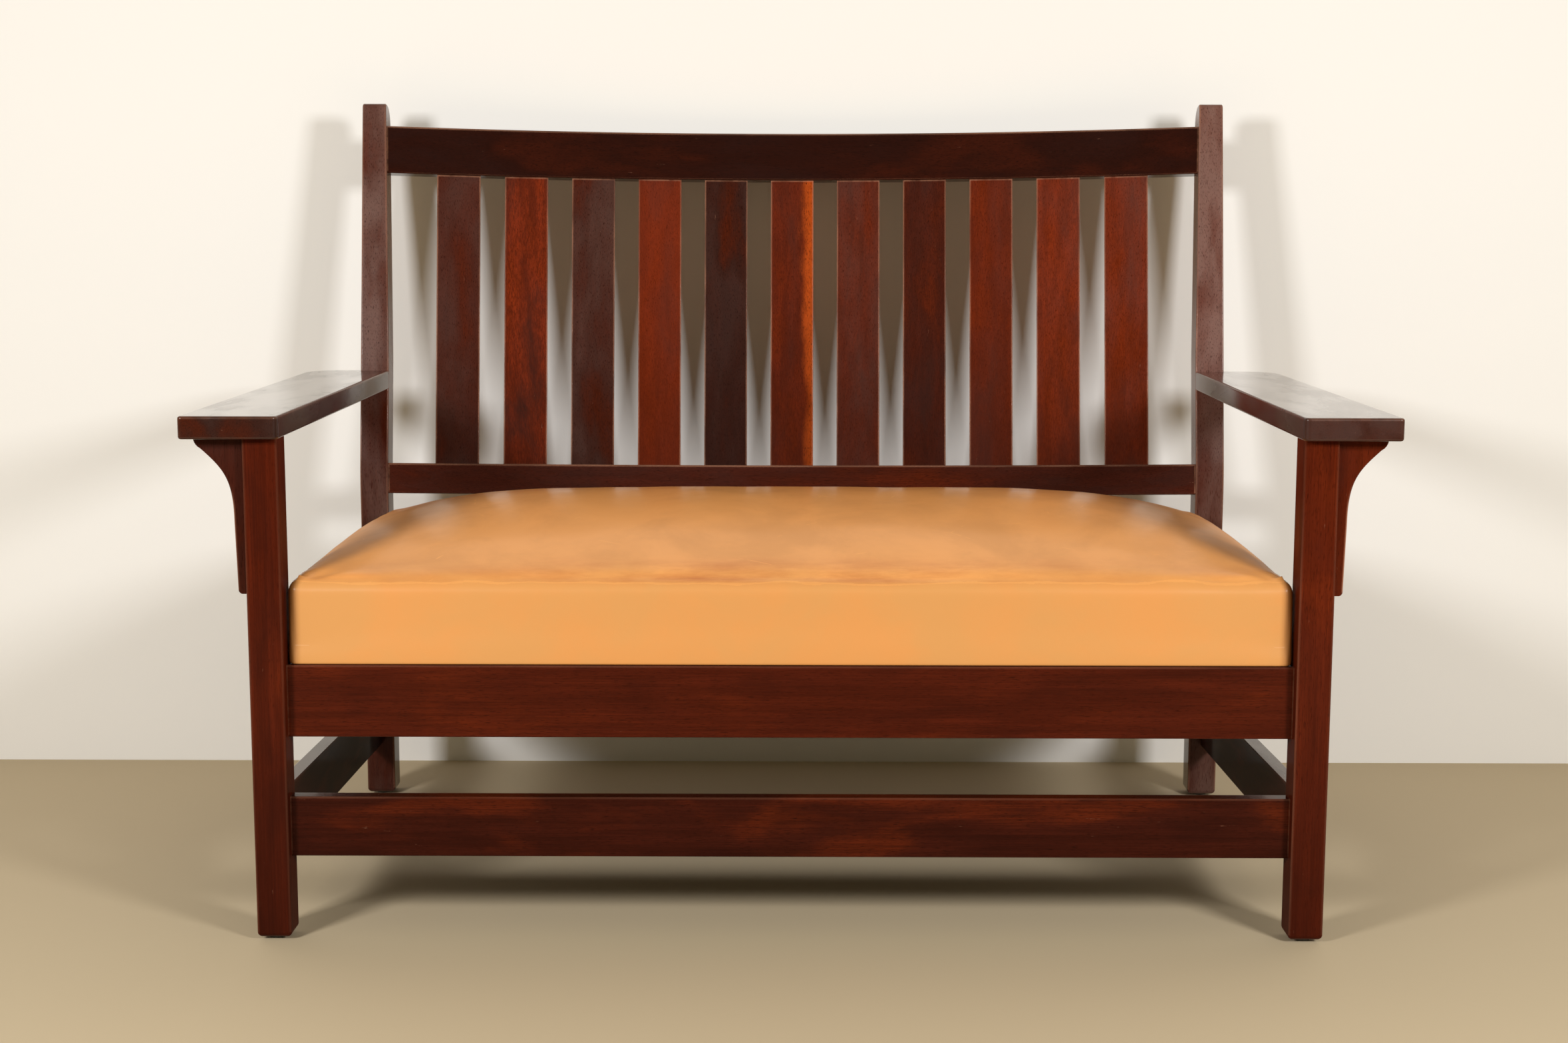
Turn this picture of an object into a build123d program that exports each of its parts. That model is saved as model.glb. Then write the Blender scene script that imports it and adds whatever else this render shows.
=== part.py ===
from build123d import *
import math
import os

# A two-seat mission settle. X runs along the seat, Y from front to back and Z up from the floor.
# The origin is on the floor under the middle of the settle's outer box. Lengths are in millimetres.
# Right-hand pieces are modelled on the +X side and mirrored. Left and right are as seen from the front.

# Front legs and feet
leg_side = 41.0
leg_spread = 1276.0
leg_ease = 2.0
foot_round = 7.0
glide_diameter = 22.0
glide_height = 3.5
glide_ease = 1.0
nail_diameter = 3.0
nail_length = 14.0

# Rear posts
side_span = 631.0
post_inset = 5.0
post_width = 41.0
post_depth = 42.0
post_height = 1022.5
post_top_width = 34.5
post_top_depth = 36.0
post_taper_start = 650.0
post_top_front_round = 6.0
post_top_back_round = 25.0
bend_height = 480.0
bend_round = 260.0
rake_angle = 9.5

# Seat box, which is level
seat_rail_top = 334.0
seat_rail_height = 87.0
seat_rail_thickness = 22.0
front_rail_setback = 15.0
side_rail_setback = 10.0
rear_rail_setback = 11.0
rail_ease = 1.5

# Stretchers
stretcher_top = 174.0
stretcher_height = 73.0
stretcher_thickness = 20.0
front_stretcher_setback = 14.0
side_stretcher_setback = 8.0
side_stretcher_height = 75.0
side_stretcher_fall = 21.0

# Bowed back
back_bow = 56.0
back_rail_thickness = 25.0
back_rail_setback = 6.0
back_rail_ease = 1.5
crest_height = 69.5
crest_drop = 32.5
lower_rail_height = 44.5
lower_rail_drop = 24.4
slat_count = 11
slat_end_gap = 64.5
slat_width = 64.0
slat_thickness = 9.5
slat_ease = 1.2

# Arms and corbels
arm_top = 633.0
arm_thickness = 27.0
arm_width = 116.0
arm_front_overhang = 18.0
arm_rear_lap = 12.0
arm_ease = 3.0
arm_front_inner_round = 8.0
arm_front_outer_round = 5.0
arm_rear_round = 50.0
corbel_width = 59.0
corbel_height = 185.5
corbel_thickness = 21.0
corbel_setback = 10.0
corbel_toe_width = 11.3
corbel_toe_round = 5.0
corbel_lip_round = 8.0
corbel_lip_height = 13.0
corbel_swoop_height = 38.0
corbel_swoop_width = 23.5
corbel_neck_height = 100.0
corbel_neck_width = 13.5
corbel_ease = 1.2

# Joints
joint_clearance = 0.2
tenon_thickness = 10.0
tenon_shoulder = 8.0
cross_tenon_length = 14.0
side_tenon_length = 20.0
tenon_wall = 1.0
leg_tenon_side = 24.0
leg_tenon_length = 14.0
back_tenon_thickness = 12.0
back_tenon_length = 20.0
slat_tenon_length = 12.0
slat_tenon_thickness = 6.5
slat_tenon_shoulder = 4.0
dowel_diameter = 9.5
arm_dowel_length = 46.0
arm_dowel_spacing = 20.0
corbel_dowel_length = 24.0
corbel_dowel_bite = 8.0
corbel_dowel_drop_shares = (0.12, 0.5)

# Corner blocks, cleats and their screws
block_reach = 55.0
block_height = 42.0
block_drop = 34.0
block_rail_screw_share = 0.5
block_side_screw_share = 0.65
cleat_height = 22.0
side_cleat_width = 35.0
rear_cleat_width = 30.0
screw_length = 30.0
screw_grip = 15.0
screw_diameter = 4.0
screw_head_diameter = 8.0
screw_head_height = 2.5
counterbore_diameter = 10.0
side_cleat_screw_shares = (-0.3, 0.3)
rear_cleat_screw_shares = (-0.35, 0.0, 0.35)

# Drop-in seat
seat_side_gap = 10.0
seat_front_setback = 16.0
seat_rear_gap = 8.0
seat_drop_gap = 0.3
seat_edge_height = 103.0
seat_crown = 65.0
seat_side_crown = 2.0
seat_corner_round = 9.0
seat_edge_round = 13.0
seat_crown_power = 4.0
seat_crown_shoulder = 0.7
seat_station_shares = (0.0, 0.45, 0.7, 0.86, 0.95)
seat_corner_angles = (90.0, 60.0, 30.0, 0.0)
leather_thickness = 1.8
leather_hem = 28.0
soft_gap = 0.3
seat_frame_width = 45.0
seat_frame_thickness = 20.0
seat_brace_width = 40.0
seat_brace_share = 0.165
seat_frame_tenon_share = 0.35
webbing_width = 50.0
webbing_thickness = 1.5
webbing_end_gap = 8.0
long_webbing_count = 5
cross_webbing_count = 9
dust_cover_thickness = 1.0

# One overrun serves every cut that has to pass through a face
cut_overrun = 60.0

# Places worked out from the sizes above
rake = math.radians(rake_angle)
leg_outer_x = leg_spread / 2
leg_inner_x = leg_outer_x - leg_side
leg_mid_x = leg_outer_x - leg_side / 2
post_outer_x = leg_outer_x - post_inset
post_inner_x = post_outer_x - post_width
post_mid_x = post_outer_x - post_width / 2
raked_length = (post_height - bend_height) / math.cos(rake)
crest_top_s = raked_length - crest_drop
crest_bottom_s = crest_top_s - crest_height
lower_rail_bottom_s = -lower_rail_drop
lower_rail_top_s = lower_rail_bottom_s + lower_rail_height
slat_opening = crest_bottom_s - lower_rail_top_s
slat_pitch = 2 * (post_inner_x - slat_end_gap - slat_width / 2) / (slat_count - 1)
bow_chord = post_inner_x
bow_radius = (bow_chord ** 2 + back_bow ** 2) / (2 * back_bow)
bow_centre_t = back_rail_setback + back_bow - bow_radius
crest_back_t = back_rail_setback + back_bow + back_rail_thickness
crest_edge_s = crest_top_s - back_rail_ease
crest_reach = crest_edge_s * math.sin(rake) + crest_back_t * math.cos(rake)
overall_depth = arm_front_overhang + leg_side + side_span + crest_reach
front_y = arm_front_overhang - overall_depth / 2
leg_back_y = front_y + leg_side
leg_mid_y = front_y + leg_side / 2
post_front_y = leg_back_y + side_span
post_mid_y = post_front_y + post_depth / 2
arm_bottom = arm_top - arm_thickness
arm_outer_x = post_inner_x + arm_width
seat_rail_bottom = seat_rail_top - seat_rail_height
front_rail_y = front_y + front_rail_setback
front_rail_back_y = front_rail_y + seat_rail_thickness
rear_rail_y = post_front_y + rear_rail_setback
side_rail_outer_x = leg_outer_x - side_rail_setback
side_rail_inner_x = side_rail_outer_x - seat_rail_thickness
side_tenon_x = leg_inner_x + cross_tenon_length + tenon_wall
seat_half_width = leg_inner_x - seat_side_gap
seat_front_y = front_y + seat_front_setback
seat_back_y = post_front_y - seat_rear_gap
seat_mid_y = (seat_front_y + seat_back_y) / 2
seat_bottom = seat_rail_top + seat_drop_gap
seat_frame_inset = leather_thickness + 2 * soft_gap
seat_frame_bottom = seat_bottom + leather_thickness + soft_gap
seat_frame_top = seat_frame_bottom + seat_frame_thickness


def corner_box(low, high):
    """A box between two opposite corners."""
    size = [b - a for a, b in zip(low, high)]
    middle = [(a + b) / 2 for a, b in zip(low, high)]
    return Pos(*middle) * Box(*size)


def grown_box(low, high, gap):
    """The same box with a gap added on every side, for the mortise that takes a tenon."""
    return corner_box([a - gap for a in low], [b + gap for b in high])


def mirrored(piece):
    """The left-hand twin of a right-hand piece."""
    return mirror(piece, about=Plane.YZ)


def both_sides(piece):
    """A right-hand piece and its left-hand twin."""
    return piece + mirrored(piece)


def long_edges(piece, least_length):
    """The edges of a board that run along its length."""
    return piece.edges().filter_by(lambda edge: edge.length > least_length)


def back_plane(s):
    """A plane across the raked back, at a distance s up the rake from the bend."""
    y = post_front_y + s * math.sin(rake)
    z = bend_height + s * math.cos(rake)
    return Plane(origin=(0, y, z), x_dir=(1, 0, 0), z_dir=(0, math.sin(rake), math.cos(rake)))


def back_point(s, t):
    """The Y and Z of a point s up the rake and t behind the raked front face of the posts."""
    y = post_front_y + s * math.sin(rake) + t * math.cos(rake)
    z = bend_height + s * math.cos(rake) - t * math.sin(rake)
    return (y, z)


def bow_depth(radius, x):
    """How far behind the raked front face an arc of the bow lies at a distance x from the middle."""
    return bow_centre_t + math.sqrt(radius ** 2 - x ** 2)


def bowed_strip(front_radius, thickness, half_length):
    """Plan of a board that follows the bow of the back."""
    edges = []
    for radius in (front_radius, front_radius + thickness):
        end = bow_depth(radius, half_length)
        middle = bow_depth(radius, 0)
        edges.append(ThreePointArc((-half_length, end), (0, middle), (half_length, end)))
    front, back = edges
    return make_face([front, Line(front @ 1, back @ 1), back, Line(front @ 0, back @ 0)])


# Tenons of the straight rails, each as the low and high corners of the right-hand or rear end
front_rail_mid_y = front_rail_y + seat_rail_thickness / 2
rear_rail_mid_y = rear_rail_y + seat_rail_thickness / 2
front_stretcher_y = front_y + front_stretcher_setback
front_stretcher_mid_y = front_stretcher_y + stretcher_thickness / 2
stretcher_bottom = stretcher_top - stretcher_height
side_stretcher_bottom = stretcher_top - side_stretcher_height


def cross_tenon(inner_x, mid_y, bottom, top):
    """Tenon on the end of a rail that runs along the seat."""
    low = (inner_x, mid_y - tenon_thickness / 2, bottom + tenon_shoulder)
    high = (inner_x + cross_tenon_length, mid_y + tenon_thickness / 2, top - tenon_shoulder)
    return low, high


def side_tenon(y_low, y_high, bottom, top):
    """Tenon on the end of a side rail, outside the cross tenons so that the two never meet."""
    low = (side_tenon_x, y_low, bottom + tenon_shoulder)
    high = (side_tenon_x + tenon_thickness, y_high, top - tenon_shoulder)
    return low, high


front_rail_tenon = cross_tenon(leg_inner_x, front_rail_mid_y, seat_rail_bottom, seat_rail_top)
rear_rail_tenon = cross_tenon(post_inner_x, rear_rail_mid_y, seat_rail_bottom, seat_rail_top)
front_stretcher_tenon = cross_tenon(leg_inner_x, front_stretcher_mid_y, stretcher_bottom, stretcher_top)
side_rail_tenons = (
    side_tenon(leg_back_y - side_tenon_length, leg_back_y, seat_rail_bottom, seat_rail_top),
    side_tenon(post_front_y, post_front_y + side_tenon_length, seat_rail_bottom, seat_rail_top),
)
side_stretcher_tenons = (
    side_tenon(leg_back_y - side_tenon_length, leg_back_y, side_stretcher_bottom, stretcher_top),
    side_tenon(
        post_front_y,
        post_front_y + side_tenon_length,
        side_stretcher_bottom - side_stretcher_fall,
        stretcher_top - side_stretcher_fall,
    ),
)
leg_tenon = (
    (leg_mid_x - leg_tenon_side / 2, leg_mid_y - leg_tenon_side / 2, arm_bottom),
    (leg_mid_x + leg_tenon_side / 2, leg_mid_y + leg_tenon_side / 2, arm_bottom + leg_tenon_length),
)


def cross_rail(inner_x, y, thickness, bottom, top, tenon):
    """A straight rail along the seat with a tenon on each end."""
    rail = corner_box((-inner_x, y, bottom), (inner_x, y + thickness, top))
    rail = fillet(long_edges(rail, inner_x), rail_ease)
    return rail + both_sides(corner_box(*tenon))


def side_rail(inner_x, thickness, bottom, top, fall, tenons):
    """A side rail from front leg to rear post, which may fall towards the rear."""
    outline = Polyline(
        (leg_back_y, bottom),
        (leg_back_y, top),
        (post_front_y, top - fall),
        (post_front_y, bottom - fall),
        close=True,
    )
    rail = extrude(Plane.YZ.offset(inner_x) * make_face(outline), thickness)
    rail = fillet(long_edges(rail, side_span / 2), rail_ease)
    for tenon in tenons:
        rail += corner_box(*tenon)
    return rail


def bowed_board(bottom_s, height, front_radius, thickness, half_length):
    """A board of the bowed back between two heights on the rake."""
    plan = bowed_strip(front_radius, thickness, half_length)
    return extrude(back_plane(bottom_s) * plan, height)


def back_tenon(bottom_s, height, gap):
    """The tenoned core of a back rail, or with a gap its mortises."""
    inner = bow_radius + (back_rail_thickness - back_tenon_thickness) / 2 - gap
    core_bottom = bottom_s + tenon_shoulder - gap
    core_height = height - 2 * (tenon_shoulder - gap)
    half_length = post_inner_x + back_tenon_length + gap
    return bowed_board(core_bottom, core_height, inner, back_tenon_thickness + 2 * gap, half_length)


def slat_place(index):
    """Where a slat stands on the bow: the middle of its foot, turned to the tangent."""
    x = (index - (slat_count - 1) / 2) * slat_pitch
    middle_radius = bow_radius + back_rail_thickness / 2
    turn = -math.degrees(math.asin(x / middle_radius))
    spot = Pos(x, bow_depth(middle_radius, x), 0) * Rot(0, 0, turn)
    return back_plane(lower_rail_top_s).location * spot


def slat_body():
    """The showing part of a slat, standing on its foot."""
    board = Pos(0, 0, slat_opening / 2) * Box(slat_width, slat_thickness, slat_opening)
    return fillet(long_edges(board, slat_opening / 2), slat_ease)


def slat_tenons(gap):
    """The stub tenons of a slat as one core, or with a gap its two mortises."""
    width = slat_width - 2 * slat_tenon_shoulder + 2 * gap
    length = slat_opening + 2 * (slat_tenon_length + gap)
    core = Box(width, slat_tenon_thickness + 2 * gap, length)
    return Pos(0, 0, slat_opening / 2) * core


def dowel(length, gap):
    """A round dowel along Z about its middle, or with a gap the hole for it."""
    return Cylinder(dowel_diameter / 2 + gap, length + 2 * gap)


def arm_dowel_places():
    """Middles of the two dowels from the right arm into the post, along Y."""
    s = (arm_top - arm_thickness / 2 - bend_height) / math.cos(rake)
    y = back_point(s, 0)[0]
    z = arm_top - arm_thickness / 2
    places = []
    for side in (-1, 1):
        x = post_mid_x + side * arm_dowel_spacing / 2
        places.append(Plane(origin=(x, y, z), z_dir=(0, 1, 0)).location)
    return places


def corbel_dowel_places():
    """Middles of the two dowels from the right corbel into the leg, along X."""
    x = leg_outer_x + corbel_dowel_bite - corbel_dowel_length / 2
    y = front_y + corbel_setback + corbel_thickness / 2
    places = []
    for share in corbel_dowel_drop_shares:
        z = arm_bottom - share * corbel_height
        places.append(Plane(origin=(x, y, z), z_dir=(1, 0, 0)).location)
    return places


def glide(x, y):
    """A round nail-on glide: its button stands on the floor and its nail runs up into the foot."""
    button = Pos(0, 0, glide_height / 2) * Cylinder(glide_diameter / 2, glide_height)
    button = chamfer(button.edges().group_by(Axis.Z)[0], glide_ease)
    nail = Pos(0, 0, glide_height + nail_length / 2) * Cylinder(nail_diameter / 2, nail_length)
    return Pos(x, y, 0) * (button + nail)


def nail_hole(x, y):
    """The hole that the glide's nail drives into."""
    length = nail_length + joint_clearance
    hole = Cylinder(nail_diameter / 2 + joint_clearance, length)
    return Pos(x, y, glide_height + length / 2) * hole


def rounded_foot(piece):
    """Round the four lower edges of a foot."""
    lowest = piece.edges().group_by(Axis.Z)[0]
    return fillet(lowest, foot_round)


# Screws: each one stands on a seat plane on the rail's face, whose normal points into the block


def screw():
    """A round-head wood screw whose head seats at the grip height above the rail's face."""
    shank = Pos(0, 0, screw_grip - screw_length / 2) * Cylinder(screw_diameter / 2, screw_length)
    head = Pos(0, 0, screw_grip + screw_head_height / 2)
    return shank + head * Cylinder(screw_head_diameter / 2, screw_head_height)


def screw_hole():
    """The drilled hole for a screw with the counterbore that its head sits in."""
    reach = screw_length + joint_clearance
    drilled = Pos(0, 0, screw_grip - reach / 2) * Cylinder(screw_diameter / 2 + joint_clearance, reach)
    bore = Pos(0, 0, screw_grip + cut_overrun / 2) * Cylinder(counterbore_diameter / 2, cut_overrun)
    return drilled + bore


block_mid_z = seat_rail_top - block_drop - block_height / 2
block_rail_screw = block_rail_screw_share * block_reach
block_side_screw = block_side_screw_share * block_reach
cleat_mid_z = seat_rail_top - cleat_height / 2
cleat_front_y = leg_back_y + joint_clearance
cleat_back_y = rear_rail_y - rear_cleat_width - joint_clearance


def seat_plane(origin, normal):
    """Where a screw stands on a rail's face."""
    return Plane(origin=origin, z_dir=normal).location


front_block_seats = (
    seat_plane((leg_inner_x - block_rail_screw, front_rail_back_y, block_mid_z), (0, 1, 0)),
    seat_plane((side_rail_inner_x, leg_back_y + block_side_screw, block_mid_z), (-1, 0, 0)),
)
rear_block_seats = (
    seat_plane((post_inner_x - block_rail_screw, rear_rail_y, block_mid_z), (0, -1, 0)),
    seat_plane((side_rail_inner_x, post_front_y - block_side_screw, block_mid_z), (-1, 0, 0)),
)


def side_cleat_seats():
    """Screw seats along the right side cleat."""
    length = cleat_back_y - cleat_front_y
    middle = (cleat_back_y + cleat_front_y) / 2
    seats = []
    for share in side_cleat_screw_shares:
        seats.append(seat_plane((side_rail_inner_x, middle + share * length, cleat_mid_z), (-1, 0, 0)))
    return seats


def rear_cleat_seats():
    """Screw seats along the rear cleat."""
    seats = []
    for share in rear_cleat_screw_shares:
        x = share * 2 * post_inner_x
        seats.append(seat_plane((x, rear_rail_y, cleat_mid_z), (0, -1, 0)))
    return seats


def cut_all(piece, places, tool):
    """Cut the same tool from a piece at several places."""
    for place in places:
        piece -= place * tool
    return piece


def placed(places, piece):
    """Copies of a piece at several places, as one group."""
    return Compound(children=[place * piece for place in places])


def front_leg():
    """Right front leg with its mortises, dowel holes and the tenon that enters the arm."""
    low = (leg_inner_x, front_y, glide_height)
    high = (leg_outer_x, leg_back_y, arm_bottom)
    leg = rounded_foot(corner_box(low, high))
    upright = leg.edges().filter_by(Axis.Z)
    leg = fillet(upright, leg_ease)
    leg += corner_box(*leg_tenon)
    for tenon in (front_rail_tenon, front_stretcher_tenon, side_rail_tenons[0], side_stretcher_tenons[0]):
        leg -= grown_box(*tenon, joint_clearance)
    leg -= nail_hole(leg_mid_x, leg_mid_y)
    return cut_all(leg, corbel_dowel_places(), dowel(corbel_dowel_length, joint_clearance))


def post_blank():
    """The sawn right rear post before its edges are eased: the shape that its neighbours butt against."""
    bend_shift = post_depth * math.tan(rake / 2)
    outline = FilletPolyline(
        (post_front_y, glide_height),
        (post_front_y, bend_height),
        back_point(raked_length, 0),
        back_point(raked_length, post_top_depth),
        (post_front_y + post_depth, bend_height - bend_shift),
        (post_front_y + post_depth, glide_height),
        radius=[0, bend_round, post_top_front_round, post_top_back_round, bend_round, 0],
        close=True,
    )
    blank = extrude(Plane.YZ.offset(post_inner_x) * make_face(outline), post_width)
    taper = post_width - post_top_width
    top = post_height + cut_overrun
    slope = taper / (post_height - post_taper_start)
    waste = Polyline(
        (post_inner_x, post_taper_start),
        (post_inner_x + slope * (top - post_taper_start), top),
        (post_inner_x - cut_overrun, top),
        (post_inner_x - cut_overrun, post_taper_start),
        close=True,
    )
    back = post_front_y + post_depth + raked_length
    cutter = extrude(Plane.XZ.offset(-back) * make_face(waste), back - front_y)
    return blank - cutter


def on_side(edge, face_x):
    """Whether an edge above the foot lies on the side of the post that starts at a given X."""
    box = edge.bounding_box()
    flush = box.max.X - face_x < post_width / 2
    return flush and edge.center().Z > glide_height + foot_round


def rear_post(blank):
    """Right rear post with eased edges, a rounded foot and its mortises."""
    post = rounded_foot(blank)
    outer = post.faces().sort_by(Axis.X)[-1]
    post = fillet(outer.edges().filter_by(lambda edge: edge.center().Z > glide_height + foot_round), leg_ease)
    post = fillet(post.edges().filter_by(lambda edge: on_side(edge, post_inner_x)), leg_ease)
    for tenon in (rear_rail_tenon, side_rail_tenons[1], side_stretcher_tenons[1]):
        post -= grown_box(*tenon, joint_clearance)
    for bottom_s, height in ((crest_bottom_s, crest_height), (lower_rail_bottom_s, lower_rail_height)):
        post -= back_tenon(bottom_s, height, joint_clearance)
    post -= nail_hole(post_mid_x, post_mid_y)
    return cut_all(post, arm_dowel_places(), dowel(arm_dowel_length, joint_clearance))


def back_rail(bottom_s, height, blank):
    """A bowed rail: its board butts the posts, its core runs on as tenons, and slats stand in it."""
    half_length = post_inner_x + post_width - post_top_width
    board = bowed_board(bottom_s, height, bow_radius, back_rail_thickness, half_length)
    board = chamfer(long_edges(board, half_length), back_rail_ease)
    rail = board - both_sides(blank) + back_tenon(bottom_s, height, 0)
    for index in range(slat_count):
        rail -= slat_place(index) * slat_tenons(joint_clearance)
    return rail


def back_slat(index):
    """One slat with its stub tenons."""
    return slat_place(index) * (slat_body() + slat_tenons(0))


def arm(blank):
    """Right arm: a flat board on the leg's tenon, notched round the rear post."""
    s = (arm_top - bend_height) / math.cos(rake)
    rear_y = back_point(s, 0)[0] + arm_rear_lap
    outline = FilletPolyline(
        (post_inner_x, front_y - arm_front_overhang),
        (arm_outer_x, front_y - arm_front_overhang),
        (arm_outer_x, rear_y),
        (post_inner_x, rear_y),
        radius=[arm_front_inner_round, arm_front_outer_round, arm_rear_round, 0],
        close=True,
    )
    board = extrude(Plane.XY.offset(arm_bottom) * make_face(outline), arm_thickness)
    board = fillet(board.faces().filter_by(Axis.Z).edges(), arm_ease)
    board = board - blank - grown_box(*leg_tenon, joint_clearance)
    return cut_all(board, arm_dowel_places(), dowel(arm_dowel_length, joint_clearance))


def corbel():
    """Right corbel, sawn from a board and butted to the leg's outer face under the arm."""
    foot = arm_bottom - corbel_height
    lip = arm_bottom - corbel_lip_height
    x = leg_outer_x
    top_outer = (x + corbel_width, arm_bottom)
    lip_end = (x + corbel_width - corbel_lip_round, lip)
    swoop = Bezier(
        lip_end,
        (x + corbel_swoop_width, arm_bottom - corbel_swoop_height),
        (x + corbel_neck_width, arm_bottom - corbel_neck_height / 2),
        (x + corbel_neck_width, arm_bottom - corbel_neck_height),
    )
    toe_top = (x + corbel_toe_width, foot + corbel_toe_round)
    toe_end = (x + corbel_toe_width - corbel_toe_round, foot)
    edges = [
        Line((x, foot), (x, arm_bottom)),
        Line((x, arm_bottom), top_outer),
        TangentArc(top_outer, lip_end, tangent=(0, -1)),
        swoop,
        Line(swoop @ 1, toe_top),
        TangentArc(toe_top, toe_end, tangent=(0, -1)),
        Line(toe_end, (x, foot)),
    ]
    plane = Plane.XZ.offset(-(front_y + corbel_setback))
    board = extrude(plane * make_face(edges), -corbel_thickness)
    return cut_all(board, corbel_dowel_places(), dowel(corbel_dowel_length, joint_clearance))


def corner_block(leg_x, leg_y, rail_y, seats):
    """Glue block in a corner of the seat box, notched round the leg that stands in the corner."""
    toward = 1 if leg_y > rail_y else -1
    outline = Polyline(
        (leg_x - block_reach, rail_y),
        (leg_x, rail_y),
        (leg_x, leg_y),
        (side_rail_inner_x, leg_y),
        (side_rail_inner_x, leg_y + toward * block_reach),
        close=True,
    )
    plane = Plane.XY.offset(block_mid_z - block_height / 2)
    block = extrude(plane * make_face(outline), block_height)
    return cut_all(block, seats, screw_hole())


def seat_form(inset):
    """The crowned box of the drop-in seat, drawn in by an inset on every side.

    Sections stand across the seat, from one rounded end to the other, and the crown swells between them.
    """
    half = seat_half_width - inset
    corner = seat_corner_round - inset
    round_over = seat_edge_round - inset
    stations = [(share * (half - corner), 0) for share in seat_station_shares]
    for angle in seat_corner_angles:
        turn = math.radians(angle)
        stations.append((half - corner + corner * math.cos(turn), corner - corner * math.sin(turn)))
    ends = [(-x, pull) for x, pull in reversed(stations) if x > 0]
    sections = []
    for x, pull in ends + stations:
        swell = max(0, 1 - abs(x / seat_half_width) ** seat_crown_power) ** seat_crown_shoulder
        crown = seat_side_crown + (seat_crown - seat_side_crown) * swell
        front, back = seat_front_y + inset + pull, seat_back_y - inset - pull
        bottom, top = seat_bottom + inset, seat_bottom + seat_edge_height - inset - pull
        bulge = round_over * math.sqrt(0.5)
        front_round = ThreePointArc(
            (front, top - round_over),
            (front + round_over - bulge, top - round_over + bulge),
            (front + round_over, top),
        )
        back_round = ThreePointArc(
            (back - round_over, top),
            (back - round_over + bulge, top - round_over + bulge),
            (back, top - round_over),
        )
        edges = [
            Line((front, bottom), front_round @ 0),
            front_round,
            ThreePointArc(front_round @ 1, (seat_mid_y, top + crown), back_round @ 0),
            back_round,
            Line(back_round @ 1, (back, bottom)),
            Line((back, bottom), (front, bottom)),
        ]
        sections.append(Plane.YZ.offset(x) * make_face(edges))
    return loft(sections, ruled=True)


def seat_cover():
    """The leather: a skin over the crowned form, turned under the frame as a hem."""
    opening = corner_box(
        (-seat_half_width + leather_hem, seat_front_y + leather_hem, seat_bottom - cut_overrun),
        (seat_half_width - leather_hem, seat_back_y - leather_hem, seat_bottom + 2 * leather_thickness),
    )
    return seat_form(0) - seat_form(leather_thickness) - opening


def seat_padding():
    """The stuffing, crowned like the cover and lying on the webbing."""
    level = seat_frame_top + 2 * webbing_thickness + soft_gap
    below = corner_box(
        (-seat_half_width, seat_front_y, seat_bottom - cut_overrun),
        (seat_half_width, seat_back_y, level),
    )
    return seat_form(leather_thickness + soft_gap) - below


def seat_frame_pieces():
    """The frame of the drop-in seat: two long rails, two ends and two braces, tenoned together."""
    half = seat_half_width - seat_frame_inset
    front, back = seat_front_y + seat_frame_inset, seat_back_y - seat_frame_inset
    corner = seat_corner_round - seat_frame_inset
    low_z, high_z = seat_frame_bottom, seat_frame_top
    front_rail = corner_box((-half, front, low_z), (half, front + seat_frame_width, high_z))
    rear_rail = corner_box((-half, back - seat_frame_width, low_z), (half, back, high_z))
    front_rail = fillet(front_rail.edges().filter_by(Axis.Z).group_by(Axis.Y)[0], corner)
    rear_rail = fillet(rear_rail.edges().filter_by(Axis.Z).group_by(Axis.Y)[-1], corner)
    brace_x = seat_brace_share * 2 * half
    shoulder = (1 - seat_frame_tenon_share) / 2 * seat_frame_thickness
    places = {
        "right": (half - seat_frame_width, half),
        "brace_right": (brace_x - seat_brace_width / 2, brace_x + seat_brace_width / 2),
    }
    pieces = {}
    for name, (x_low, x_high) in places.items():
        y_low, y_high = front + seat_frame_width, back - seat_frame_width
        body = corner_box((x_low, y_low, low_z), (x_high, y_high, high_z))
        core_low = (x_low + tenon_shoulder, y_low - cross_tenon_length, low_z + shoulder)
        core_high = (x_high - tenon_shoulder, y_high + cross_tenon_length, high_z - shoulder)
        pieces[name] = body + corner_box(core_low, core_high)
        slot = both_sides(grown_box(core_low, core_high, joint_clearance))
        front_rail -= slot
        rear_rail -= slot
    return front_rail, rear_rail, pieces["right"], pieces["brace_right"]


def webbing(count, along_x):
    """One layer of webbing: strips tacked to the frame, the long layer under the cross layer."""
    half_x = seat_half_width - seat_frame_inset - webbing_end_gap
    half_y = (seat_back_y - seat_front_y) / 2 - seat_frame_inset - webbing_end_gap
    strips = []
    for index in range(count):
        share = (index + 1) / (count + 1) * 2 - 1
        if along_x:
            size = (2 * half_x, webbing_width, webbing_thickness)
            place = Pos(0, seat_mid_y + share * half_y, seat_frame_top + webbing_thickness / 2)
        else:
            size = (webbing_width, 2 * half_y, webbing_thickness)
            place = Pos(share * half_x, seat_mid_y, seat_frame_top + webbing_thickness * 3 / 2)
        strips.append(place * Box(*size))
    return Compound(children=strips)


def dust_cover():
    """The thin cloth that closes the underside of the seat inside the hem."""
    inset = leather_hem + soft_gap
    return corner_box(
        (-seat_half_width + inset, seat_front_y + inset, seat_frame_bottom - dust_cover_thickness),
        (seat_half_width - inset, seat_back_y - inset, seat_frame_bottom),
    )


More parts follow.
